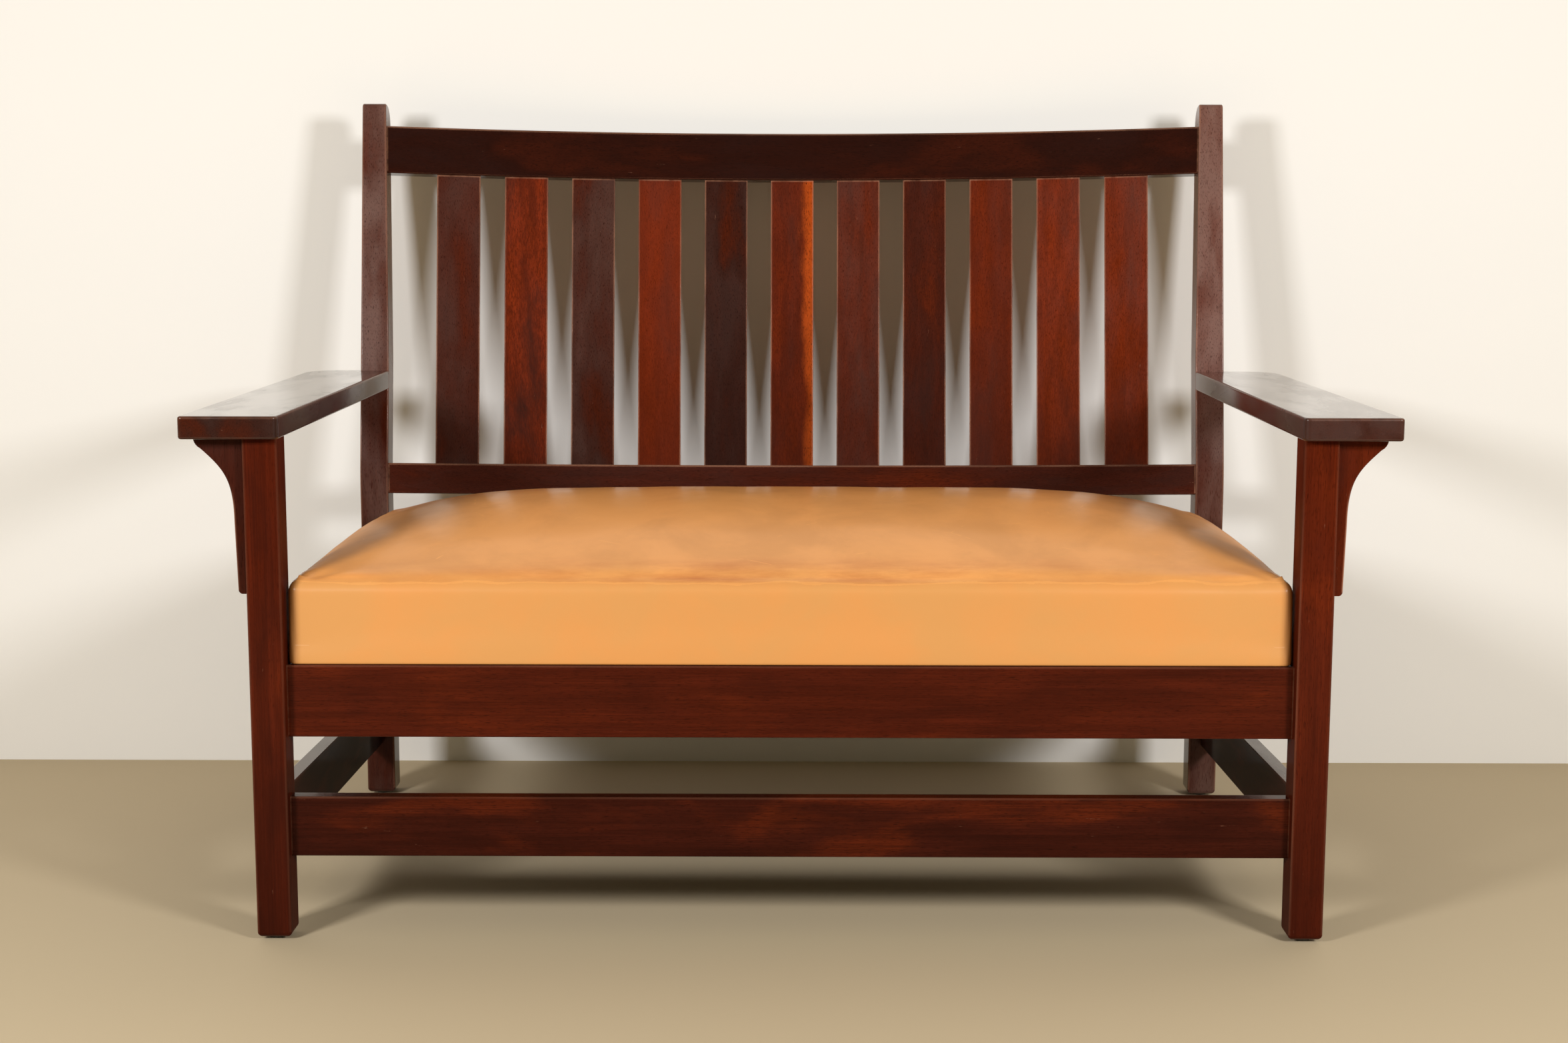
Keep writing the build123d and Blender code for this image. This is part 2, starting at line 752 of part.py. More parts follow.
def all_pieces():
    """Every node of the settle by name."""
    blank = post_blank()
    pieces = {}

    def add_pair(name, right):
        pieces[name + "_right"] = right
        pieces[name + "_left"] = mirrored(right)

    add_pair("front_leg", front_leg())
    add_pair("rear_post", rear_post(blank))
    add_pair("arm", arm(blank))
    add_pair("corbel", corbel())

    front_rail = cross_rail(
        leg_inner_x, front_rail_y, seat_rail_thickness, seat_rail_bottom, seat_rail_top, front_rail_tenon
    )
    rear_rail = cross_rail(
        post_inner_x, rear_rail_y, seat_rail_thickness, seat_rail_bottom, seat_rail_top, rear_rail_tenon
    )
    side = side_rail(
        side_rail_inner_x, seat_rail_thickness, seat_rail_bottom, seat_rail_top, 0, side_rail_tenons
    )
    for seats, rail_name in ((front_block_seats, "front"), (rear_block_seats, "rear")):
        side = cut_all(side, seats[1:], screw_hole())
        hole = both_sides(seats[0] * screw_hole())
        if rail_name == "front":
            front_rail -= hole
        else:
            rear_rail -= hole
    side = cut_all(side, side_cleat_seats(), screw_hole())
    rear_rail = cut_all(rear_rail, rear_cleat_seats(), screw_hole())
    pieces["front_seat_rail"] = front_rail
    pieces["rear_seat_rail"] = rear_rail
    add_pair("side_seat_rail", side)

    pieces["front_stretcher"] = cross_rail(
        leg_inner_x,
        front_stretcher_y,
        stretcher_thickness,
        stretcher_bottom,
        stretcher_top,
        front_stretcher_tenon,
    )
    stretcher_inner_x = leg_outer_x - side_stretcher_setback - stretcher_thickness
    add_pair(
        "side_stretcher",
        side_rail(
            stretcher_inner_x,
            stretcher_thickness,
            side_stretcher_bottom,
            stretcher_top,
            side_stretcher_fall,
            side_stretcher_tenons,
        ),
    )

    pieces["crest_rail"] = back_rail(crest_bottom_s, crest_height, blank)
    pieces["lower_back_rail"] = back_rail(lower_rail_bottom_s, lower_rail_height, blank)
    for index in range(slat_count):
        pieces[f"back_slat_{index + 1:02d}"] = back_slat(index)

    add_pair("corner_block_front", corner_block(leg_inner_x, leg_back_y, front_rail_back_y, front_block_seats))
    add_pair("corner_block_rear", corner_block(post_inner_x, post_front_y, rear_rail_y, rear_block_seats))
    side_cleat = corner_box(
        (side_rail_inner_x - side_cleat_width, cleat_front_y, seat_rail_top - cleat_height),
        (side_rail_inner_x, cleat_back_y, seat_rail_top),
    )
    add_pair("seat_cleat", cut_all(side_cleat, side_cleat_seats(), screw_hole()))
    rear_cleat = corner_box(
        (-post_inner_x + joint_clearance, rear_rail_y - rear_cleat_width, seat_rail_top - cleat_height),
        (post_inner_x - joint_clearance, rear_rail_y, seat_rail_top),
    )
    pieces["seat_cleat_rear"] = cut_all(rear_cleat, rear_cleat_seats(), screw_hole())

    block_screws = placed(front_block_seats + rear_block_seats, screw())
    pieces["corner_block_screws"] = Compound(children=[block_screws, mirrored(block_screws)])
    side_screws = placed(side_cleat_seats(), screw())
    rear_screws = placed(rear_cleat_seats(), screw())
    pieces["cleat_screws"] = Compound(children=[side_screws, mirrored(side_screws), rear_screws])
    arm_dowels = placed(arm_dowel_places(), dowel(arm_dowel_length, 0))
    pieces["arm_dowels"] = Compound(children=[arm_dowels, mirrored(arm_dowels)])
    corbel_dowels = placed(corbel_dowel_places(), dowel(corbel_dowel_length, 0))
    pieces["corbel_dowels"] = Compound(children=[corbel_dowels, mirrored(corbel_dowels)])
    add_pair("glide_front", glide(leg_mid_x, leg_mid_y))
    add_pair("glide_rear", glide(post_mid_x, post_mid_y))

    frame_front, frame_rear, frame_end, brace = seat_frame_pieces()
    pieces["seat_frame_front"] = frame_front
    pieces["seat_frame_rear"] = frame_rear
    add_pair("seat_frame", frame_end)
    add_pair("seat_frame_brace", brace)
    pieces["webbing_long"] = webbing(long_webbing_count, True)
    pieces["webbing_cross"] = webbing(cross_webbing_count, False)
    pieces["seat_padding"] = seat_padding()
    pieces["seat_cover"] = seat_cover()
    pieces["dust_cover"] = dust_cover()
    return pieces


os.makedirs("parts", exist_ok=True)
for node, piece in all_pieces().items():
    export_step(piece, f"parts/{node}.step")
print(f"overall depth {overall_depth:.3f}, front faces of the legs at Y {front_y:.3f}")
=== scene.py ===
"""Dresses the mission settle: polished mahogany, a drop-in seat in tan leather, and a plain studio."""

import math

import bmesh
import bpy
from bpy.props import FloatProperty, FloatVectorProperty, PointerProperty
from mathutils import Matrix, Vector, noise


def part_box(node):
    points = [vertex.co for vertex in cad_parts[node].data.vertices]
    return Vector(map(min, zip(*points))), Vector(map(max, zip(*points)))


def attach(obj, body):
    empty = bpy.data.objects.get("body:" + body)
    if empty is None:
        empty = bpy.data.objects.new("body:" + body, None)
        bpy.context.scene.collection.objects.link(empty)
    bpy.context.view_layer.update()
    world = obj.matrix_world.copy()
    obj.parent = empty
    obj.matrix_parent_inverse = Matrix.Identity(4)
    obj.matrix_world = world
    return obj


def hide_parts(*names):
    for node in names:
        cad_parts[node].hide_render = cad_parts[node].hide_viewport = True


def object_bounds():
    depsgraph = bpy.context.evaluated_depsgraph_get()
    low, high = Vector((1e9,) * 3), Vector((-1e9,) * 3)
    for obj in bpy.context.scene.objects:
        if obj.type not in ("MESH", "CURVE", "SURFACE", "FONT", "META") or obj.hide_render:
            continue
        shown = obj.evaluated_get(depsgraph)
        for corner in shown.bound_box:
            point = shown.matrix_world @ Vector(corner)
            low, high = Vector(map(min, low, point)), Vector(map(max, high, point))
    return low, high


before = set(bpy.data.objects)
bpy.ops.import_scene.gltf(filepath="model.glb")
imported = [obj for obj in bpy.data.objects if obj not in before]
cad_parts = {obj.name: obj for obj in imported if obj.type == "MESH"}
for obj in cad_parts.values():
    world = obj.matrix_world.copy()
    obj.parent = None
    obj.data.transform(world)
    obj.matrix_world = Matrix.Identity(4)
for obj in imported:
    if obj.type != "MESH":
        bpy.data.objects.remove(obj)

bl_info = {
    "name": "Mission Settle",
    "version": (1, 0, 0),
    "blender": (4, 5, 0),
    "location": "View3D > Sidebar > Settle",
    "description": "Finishes a mission settle in polished mahogany and tan leather, on a plain stage",
    "category": "Object",
}

MM = 0.001
CAD_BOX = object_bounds()
SEAT_LOW, SEAT_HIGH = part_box("seat_cover")
SEAT_MIDDLE = (SEAT_LOW + SEAT_HIGH) / 2
SEAT_HALF = (SEAT_HIGH - SEAT_LOW) / 2
ARM_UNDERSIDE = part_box("arm_left")[0].z

# Each board's grain direction, its redness from 0, the dark stain, to 1, the red stain, how lively its
# figure is, and how far its polish has bloomed to a dull haze.
BOARDS = {
    "front_seat_rail": ("X", 0.24, 0.45, 0.0),
    "front_stretcher": ("X", 0.09, 0.5, 0.0),
    "rear_seat_rail": ("X", 0.3, 0.3, 0.1),
    "crest_rail": ("X", 0.0, 0.18, 0.0),
    "lower_back_rail": ("X", 0.16, 0.4, 0.05),
    "arm_left": ("Y", 0.0, 0.3, 0.1),
    "arm_right": ("Y", 0.06, 0.3, 0.15),
    "side_stretcher_left": ("Y", 0.0, 0.3, 0.0),
    "side_stretcher_right": ("Y", 0.04, 0.3, 0.0),
    "side_seat_rail_left": ("Y", 0.3, 0.3, 0.1),
    "side_seat_rail_right": ("Y", 0.3, 0.3, 0.1),
    "front_leg_left": ("Z", 0.3, 0.5, 0.0),
    "front_leg_right": ("Z", 0.32, 0.45, 0.0),
    "rear_post_left": ("Z", 0.18, 0.4, 0.75),
    "rear_post_right": ("Z", 0.32, 0.3, 1.0),
    "corbel_left": ("Z", 0.1, 0.3, 0.05),
    "corbel_right": ("Z", 0.3, 0.3, 0.0),
}
# The slats from left to right: redness, figure and bloom.
SLATS = (
    (0.18, 0.35, 0.2),
    (0.72, 1.0, 0.06),
    (0.1, 0.4, 0.3),
    (0.76, 0.35, 0.06),
    (0.04, 0.4, 0.12),
    (0.46, 0.5, 0.06),
    (0.38, 0.5, 0.18),
    (0.2, 0.5, 0.06),
    (0.52, 0.4, 0.08),
    (0.74, 0.6, 0.14),
    (0.66, 0.5, 0.2),
)
SAPWOOD_SLAT = 6
# How far the noise moves the border of the sapwood
SAPWOOD_WANDER = 60 * MM
# How far the pattern moves from each board to the next, so that no two are alike
BOARD_SHIFT = (0.37, 0.53, 0.71)
FIRST_SLAT_SEED = 21

# The film's index of refraction, by the first word of a board's name: the higher, the brighter its mirror
FILM_IOR = {"arm": 1.26, "front": 1.1}
USUAL_FILM_IOR = 1.15
COAT_ROUGHNESS = 0.09
# How worn the arrises are, with the painted glint that they carry, against the other boards: little on the
# front and the sides, most on the slats
FRONT_AND_SIDE_WEAR_AND_GLINT = 0.35
SLAT_WEAR_AND_GLINT = 1.2
ARRIS_RADIUS = 3.2 * MM

PLAIN_BOARDS = (
    "seat_cleat_left",
    "seat_cleat_right",
    "seat_cleat_rear",
    "corner_block_front_left",
    "corner_block_front_right",
    "corner_block_rear_left",
    "corner_block_rear_right",
    "arm_dowels",
    "corbel_dowels",
    "seat_frame_front",
    "seat_frame_rear",
    "seat_frame_left",
    "seat_frame_right",
    "seat_frame_brace_left",
    "seat_frame_brace_right",
)

# The underside of the seat: its hem, the wall inside the hem, and the corners of the hollow
HEM = 27.7 * MM
WALL_OVER_HEM = 2 * MM
HOLLOW_CORNER = 6 * MM
# The part of the cover that is tacked down and can't swell: its lowest band and the wall of the hollow
TACKED_BAND = 12 * MM
TACKED_WALL = 1.5 * MM
CLOTH_FRAMES = 15
# The unevenness of the stuffing starts above the tacked band and grows to its full depth over this height
EVEN_BAND = 30 * MM
EVEN_RISE = 50 * MM

# The stage, in metres
FLOOR_WIDTH = 30.0
WALL_HEIGHT = 6.0
WALL_GAP = 37 * MM
LAMP_PLACE = (1.75, -2.3, 1.4)
LAMP_AIM = (0, 0, 0.5)
LAMP_WIDTH = 0.5
# The camera, with its turn, its tilt below the horizon and its roll in degrees
CAMERA_PLACE = (0.0089, -3.0046, 0.8769)
CAMERA_TURN = 0.348
CAMERA_TILT = 8.07
CAMERA_ROLL = 0.064
SENSOR_WIDTH = 36.0


def linear(code):
    """An sRGB hex colour as linear red, green and blue."""
    parts = [int(code[i : i + 2], 16) / 255 for i in (1, 3, 5)]
    return tuple(p / 12.92 if p <= 0.04045 else ((p + 0.055) / 1.055) ** 2.4 for p in parts)


def opaque(colour, lighter=1.0):
    """A colour with full alpha, made lighter or darker by a factor."""
    return tuple(min(1.0, c * lighter) for c in colour[:3]) + (1.0,)


def between(first, second, share):
    """A colour part of the way from the first to the second."""
    return tuple(a + (b - a) * share for a, b in zip(first[:3], second[:3]))


# Nodes


def add(tree, kind, inputs=None, **settings):
    """Adds one node. Inputs are values or sockets to link from, and settings are the node's own options."""
    node = tree.nodes.new(kind)
    for name, value in settings.items():
        setattr(node, name, value)
    for key, value in (inputs or {}).items():
        if isinstance(value, bpy.types.NodeSocket):
            tree.links.new(value, node.inputs[key])
        else:
            node.inputs[key].default_value = value
    return node


def new_material(name):
    """An empty node material and its tree."""
    material = bpy.data.materials.new(name)
    material.use_nodes = True
    material.node_tree.nodes.clear()
    return material, material.node_tree


def place_on_piece(tree):
    """Where each point of the piece lies, as one vector."""
    return add(tree, "ShaderNodeTexCoord").outputs["Object"]


def axes_of(tree, vector):
    """The X, Y and Z of a vector."""
    return add(tree, "ShaderNodeSeparateXYZ", {"Vector": vector}).outputs


def grain_space(tree, place, along, length, width, **inputs):
    """A space where 1 is this long down the grain and this wide across it, in millimetres."""
    scale = tuple(1 / ((length if axis == along else width) * MM) for axis in "XYZ")
    return add(tree, "ShaderNodeMapping", {"Vector": place, "Scale": scale, **inputs}).outputs[0]


def noise_field(tree, place, detail, roughness=0.5, distortion=0.0, scale=1.0):
    """Cloudy noise between 0 and 1, whose cells are 1 across at a scale of 1."""
    inputs = {
        "Vector": place,
        "Scale": scale,
        "Detail": detail,
        "Roughness": roughness,
        "Distortion": distortion,
    }
    return add(tree, "ShaderNodeTexNoise", inputs).outputs["Fac"]


def mapped(tree, value, start, end, low=0.0, high=1.0, smooth=False):
    """A value between start and end brought to between low and high, and held there outside them."""
    inputs = {"Value": value, "From Min": start, "From Max": end, "To Min": low, "To Max": high}
    kind = "SMOOTHSTEP" if smooth else "LINEAR"
    return add(tree, "ShaderNodeMapRange", inputs, interpolation_type=kind).outputs[0]


def mixed(tree, share, first, second):
    """A colour that turns from the first to the second as the share grows from 0 to 1."""
    return add(tree, "ShaderNodeMix", {0: share, 6: first, 7: second}, data_type="RGBA").outputs[2]


def product(tree, value, *factors):
    """A value times each factor in turn."""
    for factor in factors:
        value = add(tree, "ShaderNodeMath", {0: value, 1: factor}, operation="MULTIPLY").outputs[0]
    return value


def scaled_sum(tree, value, factor, offset):
    """A value times a factor, plus an offset."""
    inputs = {0: value, 1: factor, 2: offset}
    return add(tree, "ShaderNodeMath", inputs, operation="MULTIPLY_ADD").outputs[0]


def bumped(tree, height, depth, strength, normal=None):
    """The surface's normal, as a pattern of this depth tilts it."""
    inputs = {"Height": height, "Distance": depth, "Strength": strength}
    if normal is not None:
        inputs["Normal"] = normal
    return add(tree, "ShaderNodeBump", inputs).outputs[0]


def shade(tree, inputs):
    """Ends a material in one shader with these inputs."""
    shader = add(tree, "ShaderNodeBsdfPrincipled", inputs)
    add(tree, "ShaderNodeOutputMaterial", {"Surface": shader.outputs[0]})


def finish_nodes(names, material):
    """Gives CAD nodes one material."""
    for name in names:
        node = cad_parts[name]
        node.data.materials.clear()
        node.data.materials.append(material)


# Finishes


def figured_wood(tree, wood, body, figure, ribbon, clouds, grain_share):
    """The wood under its polish: ribbons and grain lines, which glow or have darkened in clouds."""
    ribbon_share = mapped(tree, ribbon, 0.34, 0.66, smooth=True)
    glow = mapped(tree, clouds, 0.5, 0.3, high=figure * 0.6, smooth=True)
    dark = mapped(tree, clouds, 0.5, 0.72, high=wood.patina * figure, smooth=True)
    colour = mixed(tree, ribbon_share, opaque(body, 1 - 0.3 * figure), opaque(body, 1 + 0.35 * figure))
    colour = mixed(tree, glow, colour, opaque(between(body, wood.flame, 0.6)))
    colour = mixed(tree, grain_share, colour, opaque(body, 0.45))
    return mixed(tree, dark, colour, opaque(wood.dark_stain, 0.6))


def sapwood_streak(tree, wood, colour, streak, across, clouds, grain_share):
    """A paler orange band along one edge of the board, with a wandering border."""
    start, full = streak
    border = scaled_sum(tree, clouds, SAPWOOD_WANDER, across)
    band = mapped(tree, border, start, full, high=0.9, smooth=True)
    sapwood = mixed(tree, grain_share, opaque(wood.sapwood, 1.15), opaque(wood.sapwood, 0.45))
    return mixed(tree, band, colour, sapwood)


def arris_wear_and_glint(tree, most, rounded, up, ribbon):
    """How far hands have thinned the stain where the rounded normal leaves the flat one, in patches; the same
    share carries a painted glint on the arrises.
    """
    flat = add(tree, "ShaderNodeNewGeometry").outputs["Normal"]
    turn = add(tree, "ShaderNodeVectorMath", {0: rounded, 1: flat}, operation="DOT_PRODUCT")
    arris = mapped(tree, turn.outputs["Value"], 0.992, 0.93, high=most)
    # Undersides are neither worn nor given the painted glint
    not_underside = mapped(tree, up, -0.12, -0.03)
    patches = mapped(tree, ribbon, 0.35, 0.6, low=0.35)
    return product(tree, arris, not_underside, patches)


def french_polished_mahogany(node, wood, board, seed, film_ior, rub=1.0, darker_low=None, streak=None, inward=0):
    """Mahogany, stained dark and french polished: red ribbon figure under a glassy film, dulled by time.

    The film mirrors the room on flat tops, the stain is thin on rubbed arrises, which also carry a painted
    glint, and low ends are darker: grime on the front legs, painted shade under the arms.
    """
    along, redness, figure, bloom = board
    material, tree = new_material(f"French polished mahogany, {node}")
    place = place_on_piece(tree)
    axes = axes_of(tree, place)
    shift = tuple(seed * step for step in BOARD_SHIFT)

    def cells(length, width, detail, roughness=0.5, distortion=0.0):
        """Noise with cells this long down the grain and this wide across it, in millimetres."""
        space = grain_space(tree, place, along, length, width, Location=shift)
        return noise_field(tree, space, detail, roughness, distortion)

    ribbon = cells(340, 16, detail=3.0, distortion=0.6)
    grain = cells(80, 1.5, detail=3.0, roughness=0.6)
    clouds = cells(200, 60, detail=4.0, roughness=0.55, distortion=0.3)
    grain_share = mapped(tree, grain, 0.32, 0.7, high=0.15 + 0.65 * figure, smooth=True)
    body = between(wood.dark_stain, wood.red_stain, redness)
    colour = figured_wood(tree, wood, body, figure, ribbon, clouds, grain_share)
    if streak:
        colour = sapwood_streak(tree, wood, colour, streak, axes["X"], clouds, grain_share)
    # Bloom: a greyish haze in the film, in the same clouds
    haze = mapped(tree, clouds, 0.3, 0.6, high=bloom * 0.4)
    colour = mixed(tree, haze, colour, opaque(wood.bloom))
    if darker_low:
        # The low end is darker: grime and old wax on the front legs, painted shade below the arms on the rear
        # posts, and the slats darker towards the bottom
        darkest, even_from = darker_low
        darker_low_share = mapped(tree, axes["Z"], even_from, darkest, high=0.42, smooth=True)
        colour = mixed(tree, darker_low_share, colour, opaque(wood.dark_stain, 0.6))
    # Pores: real ones are 0.2 mm wide, drawn 0.7 mm wide and 9 mm long so that they show
    pores = mapped(tree, cells(9, 0.7, detail=1.0), 0.58, 0.74)
    colour = mixed(tree, pores, colour, opaque(body, 0.45))
    # The arrises are paler where hands have thinned the stain, and also carry a painted glint of light
    rounded = add(tree, "ShaderNodeBevel", {"Radius": ARRIS_RADIUS}, samples=4).outputs[0]
    facing = axes_of(tree, rounded)
    wear_and_glint_share = arris_wear_and_glint(tree, wood.edge_wear_and_glint * rub, rounded, facing["Z"], ribbon)
    colour = mixed(tree, wear_and_glint_share, colour, opaque(wood.worn_edge_and_glint))
    # Handling marks: small pale rubs, some 30 mm long and 5 mm wide, few and far between
    marks = mapped(tree, cells(30, 5, detail=4.0, roughness=0.7), 0.7, 0.78, high=0.3)
    colour = mixed(tree, marks, colour, opaque(wood.worn_edge_and_glint))

    # Film: its gloss comes and goes in patches, and each rub is dull
    film = mapped(tree, clouds, 0.4, 0.68, wood.roughness * 0.7, wood.roughness * 1.6, smooth=True)
    roughness = scaled_sum(tree, marks, 0.8, film)
    gloss = 1.0
    if inward:
        # The polisher's pad can't work the faces that look into the settle: the film is thin and dull there
        gloss = mapped(tree, facing["X"], 0.9 * inward, 0.5 * inward, low=0.3)
        roughness = mapped(tree, gloss, 0.3, 1.0, 0.6, roughness)
    shade(
        tree,
        {
            "Base Color": colour,
            "Roughness": roughness,
            "Normal": bumped(tree, grain, depth=0.06 * MM, strength=0.25),
            "IOR": film_ior,
            "Coat Weight": gloss,
            "Coat Roughness": COAT_ROUGHNESS,
            "Coat IOR": film_ior,
        },
    )
    return material


def raw_poplar(colour):
    """Poplar, sawn and left bare: pale, slightly green-brown and dry, with faint straight grain."""
    material, tree = new_material("Sawn poplar, bare")
    place = place_on_piece(tree)
    # Grain some 5 mm wide and 150 mm long along X, with saw marks 3 mm apart
    grain = noise_field(tree, grain_space(tree, place, "X", 150, 5), detail=4.0)
    saw = noise_field(tree, grain_space(tree, place, "X", 3, 60), detail=1.0)
    tone = mixed(tree, grain, opaque(colour, 1.25), opaque(colour, 0.6))
    bump = bumped(tree, saw, depth=0.3 * MM, strength=0.5)
    shade(tree, {"Base Color": tone, "Roughness": 0.75, "Normal": bump})
    return material


def woven_cloth(name, colour, scale, roughness):
    """Woven cloth: ribs that cross and catch light in a chequer, 314 mm apart at a scale of 1."""
    material, tree = new_material(name)
    place = place_on_piece(tree)
    ribs = []
    for direction in "XY":
        inputs = {"Vector": place, "Scale": scale, "Distortion": 0.0}
        rib = add(tree, "ShaderNodeTexWave", inputs, bands_direction=direction)
        ribs.append(rib.outputs["Fac"])
    weave = product(tree, *ribs)
    tone = mixed(tree, weave, opaque(colour, 0.55), opaque(colour, 1.2))
    bump = bumped(tree, weave, depth=0.3 * MM, strength=0.6)
    shade(tree, {"Base Color": tone, "Roughness": roughness, "Normal": bump})
    return material


def bright_steel(colour):
    """Mild steel screws, turned and bright: a grey metal dulled by handling."""
    material, tree = new_material("Turned mild steel")
    # Tool marks 1 mm apart
    marks = noise_field(tree, place_on_piece(tree), detail=2.0, scale=1000.0)
    roughness = mapped(tree, marks, 0.0, 1.0, 0.3, 0.5)
    shade(tree, {"Base Color": opaque(colour), "Metallic": 1.0, "Roughness": roughness})
    return material


def moulded_nylon(colour, scuffed):
    """Nylon glides, moulded dark and scuffed by the floor: matt, with grey rubbed patches."""
    material, tree = new_material("Moulded nylon, scuffed")
    # Scuffs 4 mm across
    scuffs = noise_field(tree, place_on_piece(tree), detail=3.0, scale=250.0)
    shade(tree, {"Base Color": mixed(tree, scuffs, opaque(colour), opaque(scuffed)), "Roughness": 0.6})
    return material


def hide_colour(tree, place, axes, across, mottle, leather):
    """The hide's colour: mottled tan, rubbed and scratched where people sit, and grimy at both ends, with
    painted shade on the front face, the back of the top and both ends and a painted highlight along the
    crease.
    """
    front = SEAT_LOW.y
    crease = SEAT_LOW.z + leather.side_height
    # The front face takes the facing colour, whose darkness is painted shade on the front face
    behind_facing = mapped(tree, axes["Y"], front + 4 * MM, front + 20 * MM, smooth=True)
    colour = mixed(tree, behind_facing, opaque(leather.facing), opaque(leather.tan))
    mottled = mapped(tree, mottle, 0.35, 0.7, smooth=True)
    colour = mixed(tree, mottled, colour, opaque(leather.tan, 0.86))

    # Rubbed along the front edge, from the crease to 75 mm behind the front, and most in the middle
    rub_near = mapped(tree, axes["Y"], front + 4 * MM, front + 16 * MM, smooth=True)
    rub_far = mapped(tree, axes["Y"], front + 75 * MM, front + 20 * MM, smooth=True)
    rub_noise = noise_field(tree, grain_space(tree, place, "X", 120, 30), detail=6.0, roughness=0.65)
    rub_patches = mapped(tree, rub_noise, 0.4, 0.72, high=0.8)
    sat_on = mapped(tree, across, 0.1, 0.45, 1.0, 0.4, smooth=True)
    rub = product(tree, rub_near, rub_far, sat_on, rub_patches)
    colour = mixed(tree, rub, colour, opaque(leather.scuff_and_shade))

    # Scuffs across the back half of the top, where sitters slide in; they also darken the back of the top as
    # painted shade
    scuff_space = grain_space(tree, place, "X", 110, 45)
    scuff_noise = noise_field(tree, scuff_space, detail=7.0, roughness=0.68, distortion=0.6)
    scuff_and_shade_patches = mapped(tree, scuff_noise, 0.47, 0.62, high=0.85)
    back_half = mapped(tree, axes["Y"], -0.12, 0.1, smooth=True)
    on_top = mapped(tree, axes["Z"], crease - 15 * MM, crease + 10 * MM)
    colour = mixed(tree, product(tree, back_half, on_top, scuff_and_shade_patches), colour, opaque(leather.scuff_and_shade))

    # Scratches: the edges of long cells, turned a little and kept only in patches
    scratch_space = grain_space(tree, place, "X", 170, 60, Rotation=(0.0, 0.0, 0.5))
    scratch_inputs = {"Vector": scratch_space, "Scale": 1.0}
    scratch_cells = add(tree, "ShaderNodeTexVoronoi", scratch_inputs, feature="DISTANCE_TO_EDGE")
    scratch_line = mapped(tree, scratch_cells.outputs["Distance"], 0.007, 0.001)
    scratch_patches = mapped(tree, rub_noise, 0.56, 0.62, high=0.55)
    scratch = product(tree, scratch_line, scratch_patches, on_top)
    colour = mixed(tree, scratch, colour, opaque(leather.tan, 1.35))

    # The crease's crest is rubbed pale along a thin, wandering line, which is also a painted highlight on the
    # crease
    crest = scaled_sum(tree, rub_noise, 16 * MM, axes["Y"])
    crest_inputs = {0: crest, 1: front + 18 * MM, 2: 1.2 * MM}
    crest_rub_and_highlight = add(tree, "ShaderNodeMath", crest_inputs, operation="COMPARE").outputs[0]
    colour = mixed(tree, product(tree, crest_rub_and_highlight, 0.22), colour, opaque(leather.tan, 1.3))

    # Polish and grime from the legs, with painted shade where the hide meets the legs, darken the hide at
    # both ends
    end = SEAT_HIGH.x
    end_dirt_and_shade = mapped(tree, across, end - 9 * MM, end + 1 * MM, high=0.5, smooth=True)
    return mixed(tree, end_dirt_and_shade, colour, opaque(leather.scuff_and_shade, 0.3))


def saddle_leather(leather):
    """Vegetable-tanned hide, dyed tan and waxed: smooth and warm, darker and redder where it is rubbed."""
    material, tree = new_material("Waxed saddle leather")
    place = place_on_piece(tree)
    axes = axes_of(tree, place)
    across = add(tree, "ShaderNodeMath", {0: axes["X"]}, operation="ABSOLUTE").outputs[0]
    # Hide mottling: clouds 110 mm across
    mottle = noise_field(tree, place, detail=5.0, roughness=0.6, distortion=0.3, scale=9.0)
    # Follicle grain: real cells are 0.5 mm across, drawn at 1.6 mm so that they show
    follicle = add(tree, "ShaderNodeTexVoronoi", {"Vector": place, "Scale": 620.0}).outputs["Distance"]
    # Slack: soft dents some 60 mm across
    slack = noise_field(tree, place, detail=2.0, scale=16.0)
    fine = bumped(tree, follicle, depth=0.2 * MM, strength=0.12)
    # Nobody sits on the ends, so the hide keeps less polish there, except along the front
    ends = mapped(tree, across, 0.44, 0.57, smooth=True)
    behind = mapped(tree, axes["Y"], SEAT_LOW.y + 20 * MM, SEAT_LOW.y + 60 * MM, smooth=True)
    waxed = mapped(tree, product(tree, ends, behind), 0.0, 1.0, 0.6, 0.2)
    polished = mapped(tree, mottle, 0.3, 0.7, 0.34, 0.46)
    shade(
        tree,
        {
            "Base Color": hide_colour(tree, place, axes, across, mottle, leather),
            "Roughness": mapped(tree, waxed, 0.2, 0.6, 0.62, polished),
            "Normal": bumped(tree, slack, depth=2 * MM, strength=0.35, normal=fine),
            "IOR": 1.3,
            "Coat Weight": waxed,
            "Coat Roughness": 0.2,
            "Coat IOR": 1.25,
        },
    )
    return material


# Shapes


def round_off(mesh, edges, radius, steps):
    """Rounds edges to a radius."""
    bmesh.ops.bevel(
        mesh,
        geom=edges,
        offset=radius,
        offset_type="OFFSET",
        affect="EDGES",
        segments=steps,
        profile=0.5,
        material=-1,
    )


def place_piece(mesh, name, material):
    """Puts a finished mesh into the scene as an object."""
    data = bpy.data.meshes.new(name)
    mesh.to_mesh(data)
    mesh.free()
    data.materials.append(material)
    piece = bpy.data.objects.new(name, data)
    bpy.context.scene.collection.objects.link(piece)
    return piece


